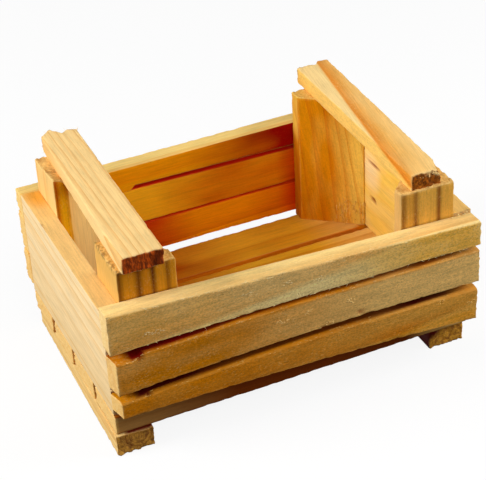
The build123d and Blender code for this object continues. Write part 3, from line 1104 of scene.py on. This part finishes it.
def splintered_foot(block):
    """Long splinters that the saw left at the foot of the far right post."""
    fibres(block, "z", seed=95, count=45, wanted=on_splintered_foot, length=(2.0, 5.0), thick=0.28,
           lift=(0.1, 0.5))


def crumbly_top(block):
    """Crumbs along the top of the near left post, beside the rail."""
    low = (near_low.x - 0.1, near_low.y + 4, near_high.z - 0.6)
    high = (near_low.x + 2.2, near_high.y - 3, near_high.z + 0.1)
    crumbs(block, seed=96, count=24, low=low, high=high)


# The far left post was sawn askew: the corner beside the rail is higher.
askew = hollow((far_low.x, far_low.y, far_high.z), (4.5, 14.0, 4.0))
print("Near left post from", [round(value, 1) for value in near_low], "mm")

# %% Corner posts
POST_END = dict(end=(246, 200, 118), pore=(208, 142, 60))
FRONT_POST = dict(ring=15.0, wander=1.0, hair=0.20, deep=(58, 9, 0), **POST_END)
# The tints on the front faces of the front posts and of the far left post are painted shade.
post_pine = {
    "front_left": dict(pith=(-46, 2), early=(232, 180, 94), late=(228, 168, 76), fuzz=0.2, patch=0.1,
                       nick=0.1, skin=(244, 210, 83), stain=(96, 34, 14), **FRONT_POST),
    "front_right": dict(pith=(-52, 4), early=(246, 202, 122), late=(232, 178, 94), patch=0.25, nick=0.3,
                        skin=(255, 234, 166), stain=(128, 74, 34), **FRONT_POST),
    "back_left": dict(pith=(30, -30), ring=5.5, early=(255, 226, 146), late=(248, 196, 108), hair=0.20,
                      patch=0.1, nick=0.1, skin=(255, 220, 36), stain=(196, 130, 60), deep=(246, 230, 224),
                      end=(240, 190, 110), pore=(150, 84, 16), clump=(0.35, 0.35, 0.35)),
    "back_right": dict(pith=(34, -20), ring=4.8, early=(255, 216, 96), late=(240, 172, 58), wander=10.0,
                       tilt=(8.0, 5.0), hair=0.04, hair_colour=(255, 220, 136), patch=0.25, nick=0.3,
                       rub=0.25, stain=(224, 172, 0), deep=(208, 150, 36), **POST_END),
}
post_stains = {
    "front_left": year_lines("front_left_post", (0.9, 1.1, 1.0), (8.2, 1.3, 1.0), (13.6, 1.0, 1.0),
                             (19.2, 0.8, 0.8)),
    "front_right": year_lines("front_right_post", (1.2, 1.1, 0.8), (6.3, 1.0, 1.0), (16.0, 1.0, 0.9)),
    "back_left": year_lines("back_left_post", (1.0, 0.9, 1.0), (5.2, 1.2, 0.6), (9.6, 0.8, 0.6)),
    "back_right": [fade("x", 65, 55, 1.2)],
}
# Painted shadow of the rail at the top of the far left post's front face.
post_stains["back_left"].append(fade("z", 68, 75, 0.4))
post_rough = {
    "front_left": dict(skin=[FRONT], skin_deep=True, deep=[behind_slats, crumbled_edge], extra=crumbly_top),
    "front_right": dict(skin=[FRONT], deep=[behind_slats]),
    "back_left": dict(skin=[FRONT], skin_deep=True, deep=[outer_side], shape=[pushed(askew, (0, 0, 1.7))]),
    "back_right": dict(skin=[INWARD], skin_deep=True, deep=[blunt_tip], extra=splintered_foot),
}
for number, (name, look) in enumerate(post_pine.items()):
    node = name + "_post"
    wood = pine(node, "z", **look)
    rough_stick(node, "z", "post_wood", wood, seed=31 + number, stains=post_stains[name], ragged=0.7,
                **post_rough[name])

# %% [markdown]
# ## The carrying rails
#
# A rail lies flat across each pair of posts. The left one shows fine rings along its top, and its
# far end was broken off, so it ends in torn points. The right one shows a single year line that
# runs askew from its far end, over its upper edge and down to its near corner. For that one the
# trunk is tilted and its pith is set so that one ring passes through those places. The rails' near
# ends were sawn with a coarse blade and are dark and crumbly.

# %% Rail marks
# The right rail's wood is a deeper orange on one side of its year line.
YEAR_PLACE = Vector((50.48, -16.03, 83.6))
YEAR_WAY = Vector((0.839, -0.121, 0.530))
# How far each rail's far end reaches past the saw line, at places across the crate.
rail_tears = {
    "left": ((-62.2, -0.4), (-57.5, 3.7), (-53.5, -1.7), (-51.8, 0.6), (-47.8, -1.2)),
    "right": ((51.0, -0.2), (55.1, -0.5), (60.2, -1.1), (61.2, 0.9), (67.5, 0.8)),
}
right_near = [point / MM for point in cad_points("right_rail")]
right_near = [point for point in right_near if point.y < min(p.y for p in right_near) + 1.0]
near_corner = (max(p.x for p in right_near), min(p.y for p in right_near), max(p.z for p in right_near))
print("Right rail, near upper corner in mm:", [round(value, 1) for value in near_corner])
left_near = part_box("left_rail")[0].y / MM
left_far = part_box("left_rail")[1].y / MM
end_patch = hollow((-52.0, left_near, 79.5), (3.4, 4.0, 5.0))
worn_corner = pushed(hollow(near_corner, (3.5, 6.0, 3.5)), (-1.0, 0.6, -1.0))


def past_year_line(at):
    way = (at - YEAR_PLACE).dot(YEAR_WAY)
    return rise(way, -0.4, 0.4) * (1 - 0.6 * rise(way, 3, 12))


def torn_end(name):
    places, reaches = zip(*rail_tears[name])
    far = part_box(name + "_rail")[1].y / MM

    def change(at, out):
        return Vector((0, float(np.interp(at.x, places, reaches)) * rise(at.y, far - 3, far - 0.5), 0))
    return change


def crumbled(at):
    """Patches of the right rail's near end that broke off pale, by its upper corner."""
    around = hollow(near_corner, (9.0, 3.0, 3.2))(at)
    return 1.6 * around * rise(noise.noise(at * 0.9), -0.1, 0.2)


def dark_end_patch(at, out):
    """Dark in a patch of the left rail's near end."""
    return max(0.0, -out.y) * 0.65 * end_patch(at)


def hairy_far_end(block):
    """Thin hairs on the broken far end."""
    fibres(block, "y", seed=97, count=40, wanted=lambda at, out: at.y > left_far - 2.5, length=(0.8, 3.0),
           thick=0.06)


def crumbly_near_end(block):
    """Crumbs that the blade pushed up on the near end."""
    right, near, top = near_corner
    crumbs(block, seed=98, count=26, low=(right - 9, near - 0.3, top - 2.8),
           high=(right - 1.0, near + 0.5, top - 0.3))


# %% Rails
LEFTWARD = (-1, 0, 0)
rail_pine = {
    "left": dict(pith=(4, -34), ring=3.1, early=(255, 216, 146), late=(234, 170, 86), wander=2.6,
                 end=(224, 92, 12), pore=(64, 8, 0), clump=(0.3, 1.3, 0.9), deep=(80, 20, 0)),
    "right": dict(pith=(24.75, 29.17), ring=13.0, early=(255, 219, 148), late=(238, 158, 58),
                  tilt=(8.19, 0.0), start=-0.077, wander=0.6, uneven=0.0, skin=(255, 246, 196),
                  stain=(246, 216, 160), end=(184, 96, 10), pore=(54, 18, 0), clump=(0.7, 0.7, 0.9),
                  crumb=0.4, crumb_colour=(224, 140, 40)),
}
rail_rough = {
    "left": dict(deep=[dark_end_patch], shape=[torn_end("left")], extra=hairy_far_end),
    "right": dict(skin=[LEFTWARD], stains=[past_year_line], fresh=[crumbled],
                  shape=[torn_end("right"), worn_corner], extra=crumbly_near_end),
}
for number, (name, look) in enumerate(rail_pine.items()):
    node = name + "_rail"
    wood = pine(node, "y", hair=0.3, nick=0.18, patch=0.25, end_share=0.98, hair_colour=(255, 222, 150),
                **look)
    rough_stick(node, "y", "rail_wood", wood, seed=41 + number, ease=0.5, ragged=1.1, chips=0.6,
                **rail_rough[name])

# %% [markdown]
# ## The floor and its runners
#
# Four slats with narrow gaps make the floor, nailed on two runners that lift the crate off the
# ground. The runners' ends are as rough as the rails'. Everything under the floor, the gaps between
# the slats and the left of the floor inside get painted shade.

# %% Floor slats
floor_low, floor_high = box_mm("floor_slat_1")
floor_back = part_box("floor_slat_4")[1].y / MM
# A chip out of the last slat's front edge, beside the right end board, with painted shade in it.
floor_chip = hollow((66.4, 25.0, floor_high.z), (2.8, 1.8, 2.0))


def shade_below(at):
    """Painted shade on the underside."""
    return rise(at.z, floor_low.z + 0.4, floor_low.z + 0.1)


def shaded_floor(at):
    """Painted shadow of the left end: darker towards the left, on the upper faces alone."""
    return rise(at.x, 16, -22) * rise(at.z, floor_high.z - 0.8, floor_high.z - 0.2)


def under_floor(at, out):
    """Painted shade below, between the slats, under the near left corner and along most of the front edge."""
    if at.y > floor_low.y + 2:
        side = (0.95 - 0.2 * rise(at.x, 30, 65)) * (1 - 0.7 * rise(at.y, floor_back - 1.5, floor_back - 0.5))
    else:
        side = (0.65 + 0.35 * rise(at.x, -65, -25)) * (1 - 0.8 * rise(at.x, 48, 60))
    hidden = rise(at.y, -45, -47) * rise(at.x, -68, -70)
    return max(0.0, -out.z) + max(0.0, out.z) * hidden + abs(out.y) ** 2 * side * rise(abs(at.x), 75.0, 73.5)


inner_floor = dict(stains=[shaded_floor, shade_below], deep=[under_floor])
floor_rough = {
    1: dict(stains=[shaded_floor], skin_deep=True, deep=[under_floor]),
    2: inner_floor,
    3: inner_floor,
    4: dict(stains=[shaded_floor, shade_below], deep=[under_floor, dark_in(floor_chip)],
            shape=[pushed(floor_chip, (0, 0.6, -0.9))]),
}
# The tint on the slats' tops is painted shade and bounce light inside the crate; it is taken off towards the
# right end, where the floor lies in the light.
for number, rough in floor_rough.items():
    node = "floor_slat_" + str(number)
    wood = pine(node, "x", pith=(6 - 4 * number, -26), ring=7.0, early=(250, 204, 118), late=(226, 158, 66),
                tilt=(0.4 * number - 1, 0.0), start=0.23 * number, skin=(255, 242, 112), stain=(188, 110, 8),
                hair=0.05, hair_colour=(255, 200, 80), nick=0.1, fuzz=0.12, patch=0.15, rub=0.08,
                deep=(130, 72, 6) if number == 1 else (255, 192, 4), **SLAT_END)
    rough_stick(node, "x", "floor_wood", wood, skin=[UP], seed=51 + number, bare=[fade("x", 42, 62)], **rough)

# %% Runners
runner_pine = {
    "left": dict(pith=(2.4, 0.6), ring=1.7, wander=1.0, early=(248, 208, 134), late=(228, 166, 84),
                 end=(232, 164, 56), end_rings=0.9),
    "right": dict(pith=(-18, -22), ring=4.2, early=(244, 196, 116), late=(214, 146, 60), end=(230, 162, 44),
                  end_rings=0.3),
}


def under_crate(name):
    """Painted shade on a runner's inner side and its ledge under the floor, and on the right one's shaded
    end.
    """
    low, high = box_mm(name + "_runner")
    inner = 1 if name == "left" else -1
    shaded = hollow((low.x, low.y, high.z), (6.5, 4.0, 5.0))

    def amount(at, out):
        ledge = max(0.0, out.z) * rise(at.x, low.x + 3, low.x + 5)
        corner = max(0.0, -out.y) * min(1.0, 1.3 * shaded(at)) if name == "right" else 0.0
        return max(0.0, out.x * inner) ** 2 + ledge + corner
    return amount


for number, (name, look) in enumerate(runner_pine.items()):
    node = name + "_runner"
    wood = pine(node, "y", hair=0.3, hair_colour=(250, 206, 124), nick=0.3, pore=(112, 46, 0),
                clump=(0.45, 0.45, 0.9), crumb=0.5, crumb_colour=(236, 178, 70), end_share=0.9,
                deep=(104, 22, 8), **look)
    rough_stick(node, "y", "runner_wood", wood, seed=61 + number, ragged=1.1, chips=0.6,
                deep=[under_crate(name)])

# %% [markdown]
# ## The brads
#
# Thin headless brads of flat wire hold the sticks together. They are driven just under the face,
# where the fibres close over them, so they only need a plain dull steel.

# %% Brads
steel = bpy.data.materials.new("brad steel")
tree = empty_tree(steel)
drawn = cloud(tree, put(tree, "ShaderNodeTexCoord").outputs["Object"], (900.0, 900.0, 900.0), detail=3.0)
wire = put(tree, "ShaderNodeBsdfPrincipled", {
    "Base Color": colour_mix(tree, drawn, shade(120, 118, 114), shade(172, 170, 166)),
    "Metallic": 1.0,
    "Roughness": maths(tree, "MULTIPLY_ADD", drawn, 0.25, 0.35),
})
put(tree, "ShaderNodeOutputMaterial", {"Surface": wire.outputs[0]})
for name in ("front_slat_brads", "back_slat_brads", "end_board_brads", "rail_brads", "foot_brads"):
    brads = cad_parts[name]
    brads.data.materials.clear()
    brads.data.materials.append(steel)
    print(name, "in", steel.name)
